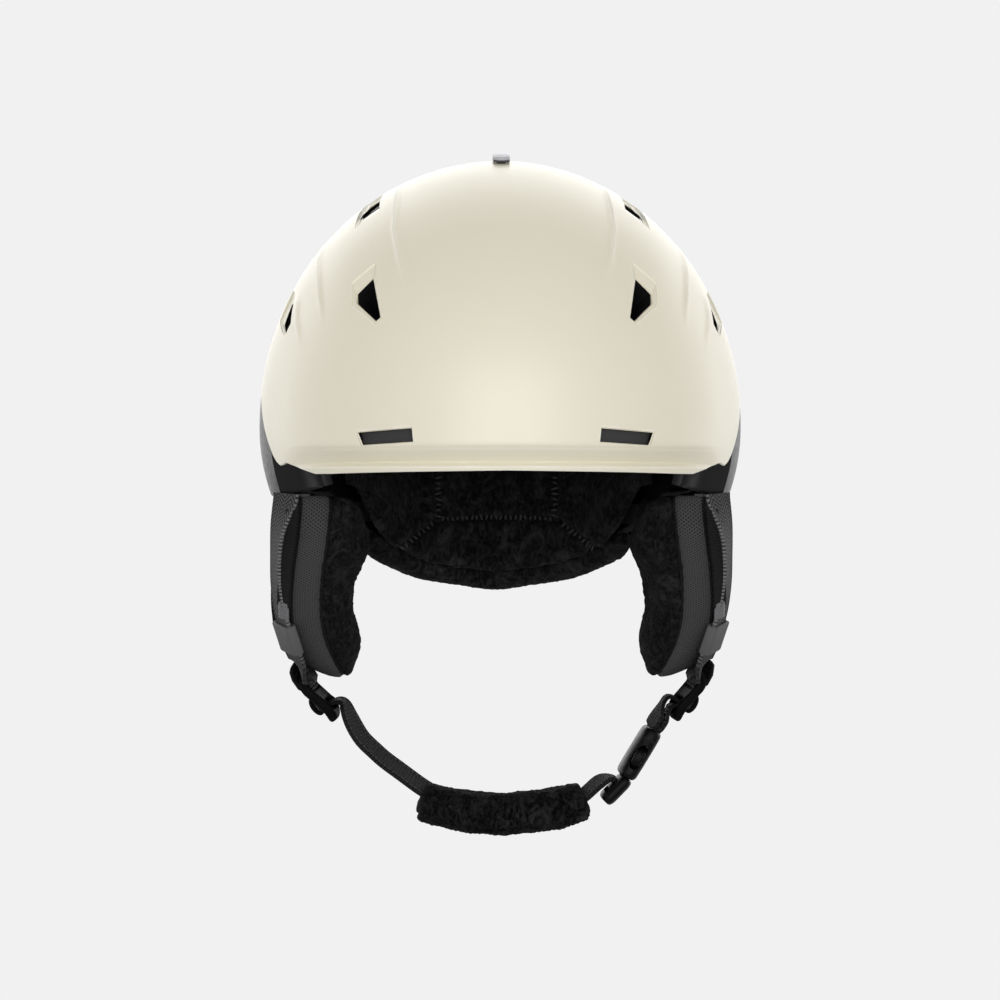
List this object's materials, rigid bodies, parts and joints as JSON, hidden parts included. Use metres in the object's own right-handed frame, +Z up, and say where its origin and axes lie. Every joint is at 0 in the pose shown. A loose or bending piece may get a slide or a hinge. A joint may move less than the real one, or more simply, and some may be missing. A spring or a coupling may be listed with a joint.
{
  "type": "ski helmet",
  "caption": "Hard-shell ski helmet with short brim, crown vent slider, padded ear flaps, nape fit dial, rear goggle clip and a buckled chin strap with a plush chin pad.",
  "frame": {"origin": "centre of the crown pad's flat underside, where the crown of the wearer's head rests", "axes": "+Z up along the wearer's spine, -Y the way the wearer faces, so +X is the wearer's left"},
  "size_m": [0.2274, 0.2856, 0.321],
  "materials": {
    "upper_shell": "satin cream",
    "lower_shell": "satin black",
    "foam": "moulded bead foam, stands in for expanded polystyrene",
    "grey_plastic": "matte dark grey",
    "light_grey_plastic": "satin grey",
    "black_nylon": "semi-gloss black",
    "steel": "plain",
    "plush": "short pile plush",
    "twill": "twill weave",
    "mesh_fabric": "spacer mesh",
    "webbing": "woven webbing"
  },
  "bodies": {
    "helmet": {"outer_shell": "upper_shell", "lower_shell": "lower_shell", "eps_liner": "foam", "brow_vent_insert_left": "grey_plastic", "brow_vent_insert_right": "grey_plastic", "crown_pad": "plush", "front_pad": "plush", "side_pad_left": "plush", "side_pad_right": "plush", "rear_liner": "plush", "neck_roll": "plush", "dial_housing": "black_nylon", "goggle_clip_base": "black_nylon", "goggle_clip_pin": "steel", "strap_front_left": "webbing", "strap_rear_left": "webbing", "strap_anchor_front_left": "black_nylon", "strap_anchor_rear_left": "black_nylon", "strap_keeper_left": "grey_plastic", "strap_divider_left": "black_nylon", "strap_front_right": "webbing", "strap_rear_right": "webbing", "strap_anchor_front_right": "black_nylon", "strap_anchor_rear_right": "black_nylon", "strap_keeper_right": "grey_plastic", "strap_divider_right": "black_nylon"},
    "vent_slider": {"vent_slider_knob": "light_grey_plastic", "vent_shutter": "black_nylon", "vent_slider_screw": "steel"},
    "fit_dial": {"fit_dial": "black_nylon", "dial_pinion": "black_nylon", "dial_screw": "steel"},
    "fit_band_right": {"fit_band_right": "black_nylon"},
    "fit_band_left": {"fit_band_left": "black_nylon"},
    "goggle_clip": {"goggle_clip_lever": "black_nylon"},
    "ear_pad_right": {"ear_cover_right": "twill", "ear_body_right": "mesh_fabric", "ear_cushion_right": "plush"},
    "ear_pad_left": {"ear_cover_left": "twill", "ear_body_left": "mesh_fabric", "ear_cushion_left": "plush"},
    "chin_sling": {"chin_strap_left": "webbing", "buckle_female": "black_nylon", "chin_strap_right": "webbing"},
    "chin_piece": {"buckle_male": "black_nylon", "chin_strap_lower": "webbing"},
    "buckle_arm_front": {"buckle_arm_front": "black_nylon"},
    "buckle_arm_rear": {"buckle_arm_rear": "black_nylon"},
    "chin_pad": {"chin_pad": "plush"}
  },
  "joints": [
    {"name": "vent_slider", "type": "hinge", "parent": "helmet", "child": "vent_slider", "pos_m": [0, 0, -0.096], "axis": [-1, 0, 0], "range_deg": [0, 5.4]},
    {"name": "fit_dial", "type": "hinge", "parent": "helmet", "child": "fit_dial", "pos_m": [0, 0.1135, -0.142], "axis": [0, 1, 0], "range_deg": [0, 110], "deforming": ["rear_liner"]},
    {"name": "fit_band_right", "type": "slide", "parent": "helmet", "child": "fit_band_right", "axis": [1, 0, 0], "range_m": [0, 0.0122]},
    {"name": "fit_band_left", "type": "slide", "parent": "helmet", "child": "fit_band_left", "axis": [-1, 0, 0], "range_m": [0, 0.0122]},
    {"name": "goggle_clip", "type": "hinge", "parent": "helmet", "child": "goggle_clip", "pos_m": [0, 0.15149, -0.06802], "axis": [1, 0, 0], "range_deg": [0, 75]},
    {"name": "ear_pad_right", "type": "hinge", "parent": "helmet", "child": "ear_pad_right", "pos_m": [-0.088, 0, -0.131], "axis": [0, -1, 0], "range_deg": [0, 12], "stiffness_Nm_per_rad": 0.3},
    {"name": "ear_pad_left", "type": "hinge", "parent": "helmet", "child": "ear_pad_left", "pos_m": [0.088, 0, -0.131], "axis": [0, 1, 0], "range_deg": [0, 12], "stiffness_Nm_per_rad": 0.3},
    {"name": "chin_sling", "type": "hinge", "parent": "helmet", "child": "chin_sling", "pos_m": [0, -0.008, -0.223], "axis": [-1, 0, 0], "range_deg": [-25, 60]},
    {"name": "buckle_release", "type": "slide", "parent": "chin_sling", "child": "chin_piece", "axis": [-0.5185, 0, -0.8551], "range_m": [0, 0.024], "deforming": ["chin_strap_right", "buckle_arm_front", "buckle_arm_rear"]},
    {"name": "buckle_arm_front", "type": "hinge", "parent": "chin_piece", "child": "buckle_arm_front", "pos_m": [0.05927, -0.0196, -0.25861], "axis": [-0.8551, 0, 0.5185], "range_deg": [0, 11], "stiffness_Nm_per_rad": 0.2},
    {"name": "buckle_arm_rear", "type": "hinge", "parent": "chin_piece", "child": "buckle_arm_rear", "pos_m": [0.05927, -0.0044, -0.25861], "axis": [0.8551, 0, -0.5185], "range_deg": [0, 11], "stiffness_Nm_per_rad": 0.2},
    {"name": "chin_pad", "type": "hinge", "parent": "chin_piece", "child": "chin_pad", "pos_m": [0.0015, -0.012, -0.1605], "axis": [0, 1, 0], "range_deg": [-2, 2]}
  ],
  "couplings": [
    {"joint": "fit_band_right", "follows": "fit_dial", "m_per_rad": 0.00625},
    {"joint": "fit_band_left", "follows": "fit_dial", "m_per_rad": 0.00625},
    {"joint": "buckle_arm_rear", "follows": "buckle_arm_front", "ratio": 1}
  ]
}
